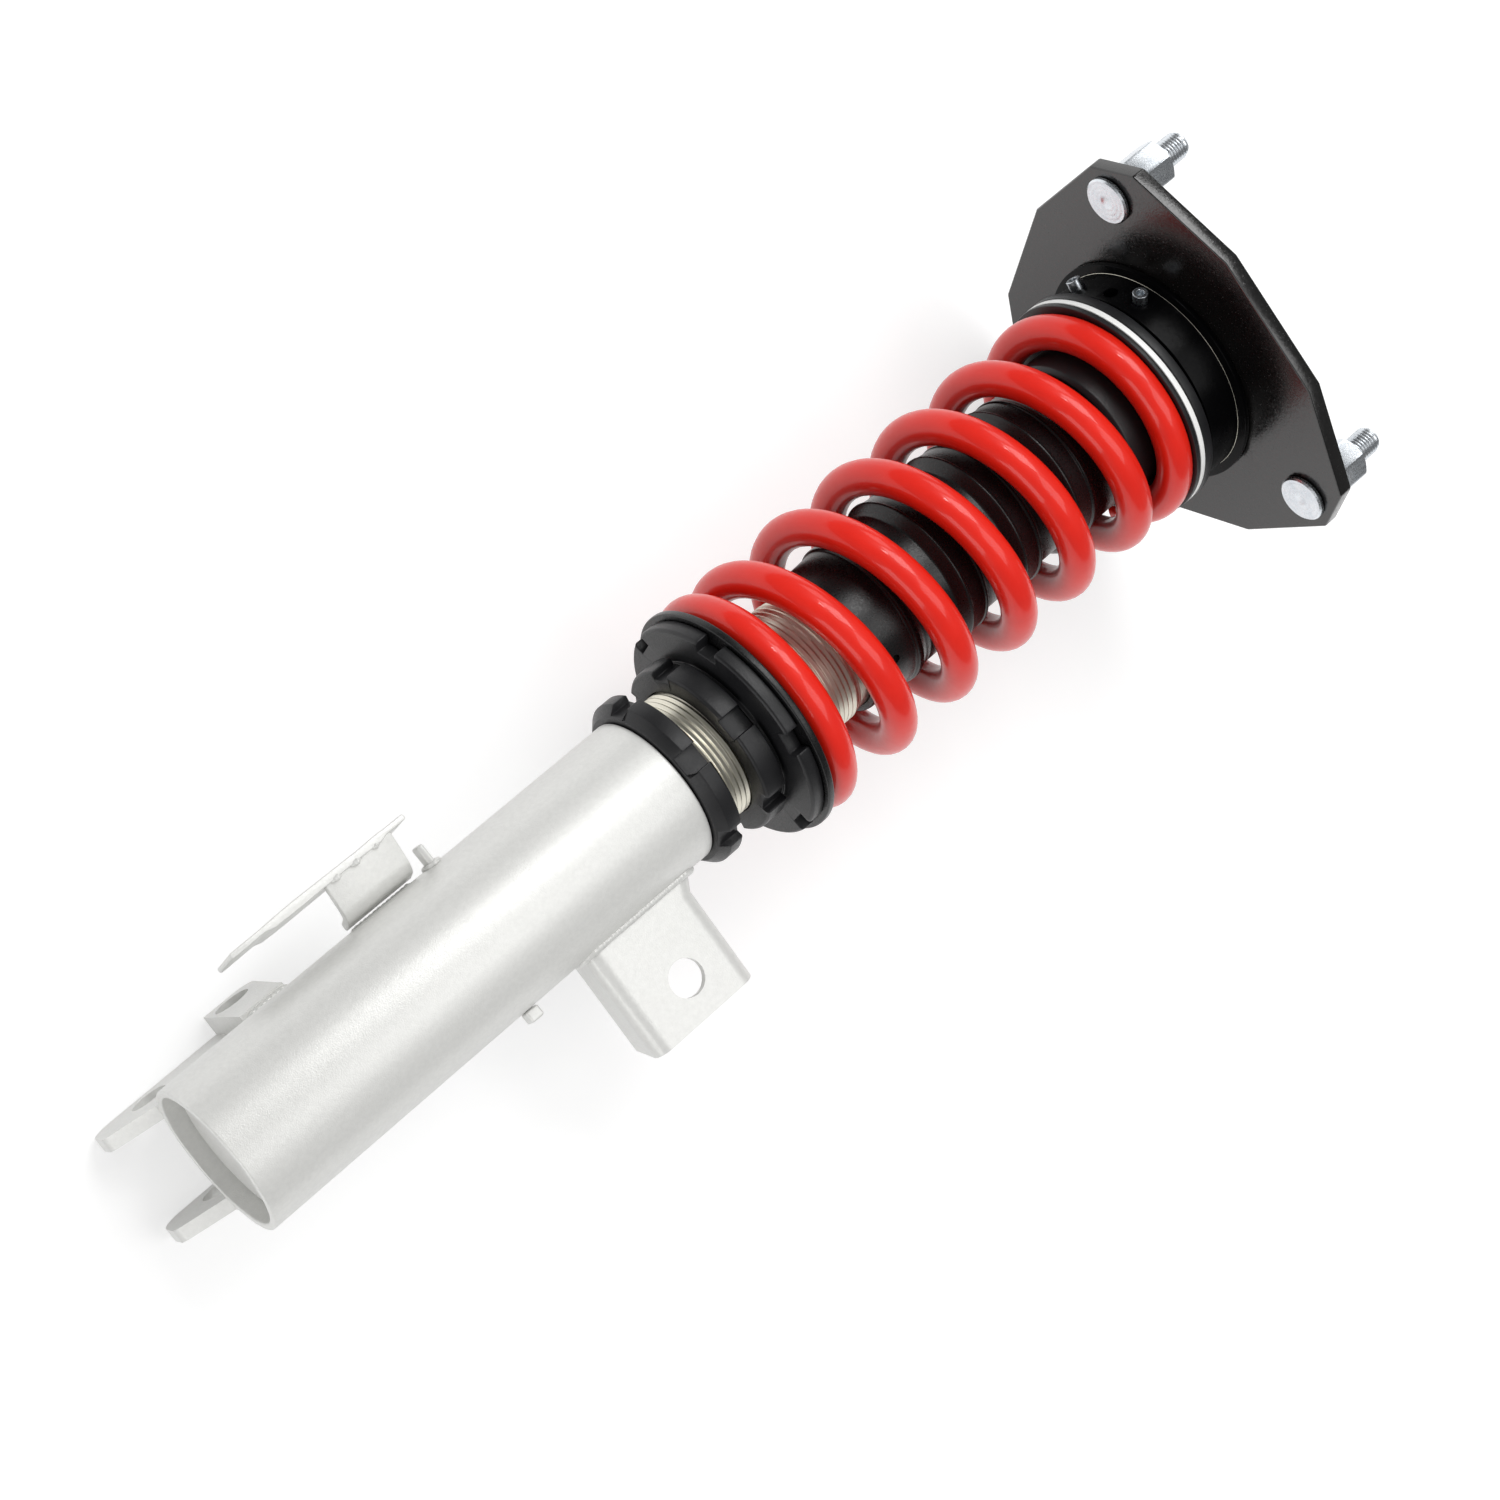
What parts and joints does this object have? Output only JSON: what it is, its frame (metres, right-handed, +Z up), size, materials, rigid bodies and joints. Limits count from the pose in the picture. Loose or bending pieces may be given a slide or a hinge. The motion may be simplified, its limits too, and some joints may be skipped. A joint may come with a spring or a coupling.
{
  "type": "coilover strut",
  "caption": "Front coilover strut on its side: silver housing with welded brackets, threaded damper with ring nuts, red coil spring over a boot, and a pillow ball top mount plate with studs.",
  "frame": {"origin": "the middle of the lying part's bounding box, on the flat surface it lies on", "axes": "+X along the strut from its open foot to its mount plate, +Y to the hose bracket side, +Z up; the strut's own axis rises 3.69 degrees from +X"},
  "size_m": [0.486, 0.15, 0.1501],
  "materials": {
    "silver_paint": "fine grained silver paint",
    "black_anodised": "matt black anodised",
    "black_rubber": "satin black rubber",
    "red_coat": "glossy red powder coat",
    "bare_steel": "bare turned steel",
    "zinc_plate": "bright zinc plate",
    "bronze": "sintered bronze",
    "chrome": "hard chrome",
    "foam": "microcellular foam",
    "white_nylon": "white nylon",
    "gloss_black": "gloss black",
    "satin_black": "satin black"
  },
  "bodies": {
    "housing": {"housing_tube": "silver_paint", "knuckle_ear_right": "silver_paint", "knuckle_ear_left": "silver_paint", "link_bracket": "silver_paint", "hose_bracket": "silver_paint", "clip_tab": "silver_paint", "stop_lug": "silver_paint"},
    "lock_ring": {"lock_ring": "black_anodised"},
    "damper": {"damper_tube": "bare_steel", "damper_base_cap": "silver_paint", "rod_guide": "bronze", "gland_nut": "black_anodised", "dust_boot": "black_rubber"},
    "gas_piston": {"floating_piston": "black_anodised"},
    "lower_seat": {"lower_spring_pad": "black_rubber", "coil_spring": "red_coat"},
    "seat_collar": {"seat_collar": "black_anodised"},
    "jam_collar": {"jam_collar": "black_anodised"},
    "rod": {"piston_rod": "chrome", "piston": "bronze", "piston_nut": "zinc_plate", "bump_stop": "foam", "thin_washer": "black_anodised", "nylon_washer": "white_nylon", "upper_spring_seat": "black_anodised", "ball_spacer": "zinc_plate", "pillow_ball": "chrome", "top_nut": "zinc_plate"},
    "race": {"ball_race": "bare_steel"},
    "mount": {"mount_hub": "gloss_black", "snap_ring": "bare_steel", "mount_plate": "satin_black", "set_screw_1": "zinc_plate", "set_screw_2": "zinc_plate", "mount_stud_1": "zinc_plate", "mount_stud_2": "zinc_plate", "mount_stud_3": "zinc_plate", "stud_nut_1": "zinc_plate", "stud_nut_2": "zinc_plate", "stud_nut_3": "zinc_plate"}
  },
  "joints": [
    {"name": "lock_ring_turn", "type": "hinge", "parent": "housing", "child": "lock_ring", "pos_m": [-0.04042, 0, 0.06314], "axis": [0.9979, 0, 0.0644], "range_deg": [-5400, 1080]},
    {"name": "ride_height", "type": "slide", "parent": "housing", "child": "damper", "axis": [0.9979, 0, 0.0644], "range_m": [-0.006, 0.03]},
    {"name": "seat_turn", "type": "hinge", "parent": "lower_seat", "child": "seat_collar", "pos_m": [-0.01148, 0, 0.06501], "axis": [0.9979, 0, 0.0644], "range_deg": [-900, 1800]},
    {"name": "jam_turn", "type": "hinge", "parent": "lower_seat", "child": "jam_collar", "pos_m": [-0.02046, 0, 0.06443], "axis": [0.9979, 0, 0.0644], "range_deg": [-900, 1800]},
    {"name": "preload", "type": "slide", "parent": "damper", "child": "lower_seat", "axis": [0.9979, 0, 0.0644], "range_m": [-0.005, 0.01], "deforming": ["coil_spring"]},
    {"name": "stroke", "type": "slide", "parent": "damper", "child": "rod", "axis": [0.9979, 0, 0.0644], "range_m": [-0.08, 0], "stiffness_N_per_m": 80000, "springref_m": 0.002, "deforming": ["coil_spring", "dust_boot", "bump_stop"]},
    {"name": "gas_piston_slide", "type": "slide", "parent": "damper", "child": "gas_piston", "axis": [0.9979, 0, 0.0644], "range_m": [-0.0195, 0]},
    {"name": "mount_tilt", "type": "hinge", "parent": "rod", "child": "race", "pos_m": [0.19499, 0, 0.07833], "axis": [0, 1, 0], "range_deg": [-3, 3]},
    {"name": "mount_swivel", "type": "hinge", "parent": "race", "child": "mount", "pos_m": [0.19499, 0, 0.07833], "axis": [0.9979, 0, 0.0644], "continuous": true}
  ],
  "couplings": [
    {"joint": "lock_ring_turn", "follows": "ride_height", "rad_per_m": -3141.6},
    {"joint": "seat_turn", "follows": "preload", "rad_per_m": 3141.6},
    {"joint": "jam_turn", "follows": "preload", "rad_per_m": 3141.6},
    {"joint": "gas_piston_slide", "follows": "stroke", "ratio": 0.238}
  ]
}
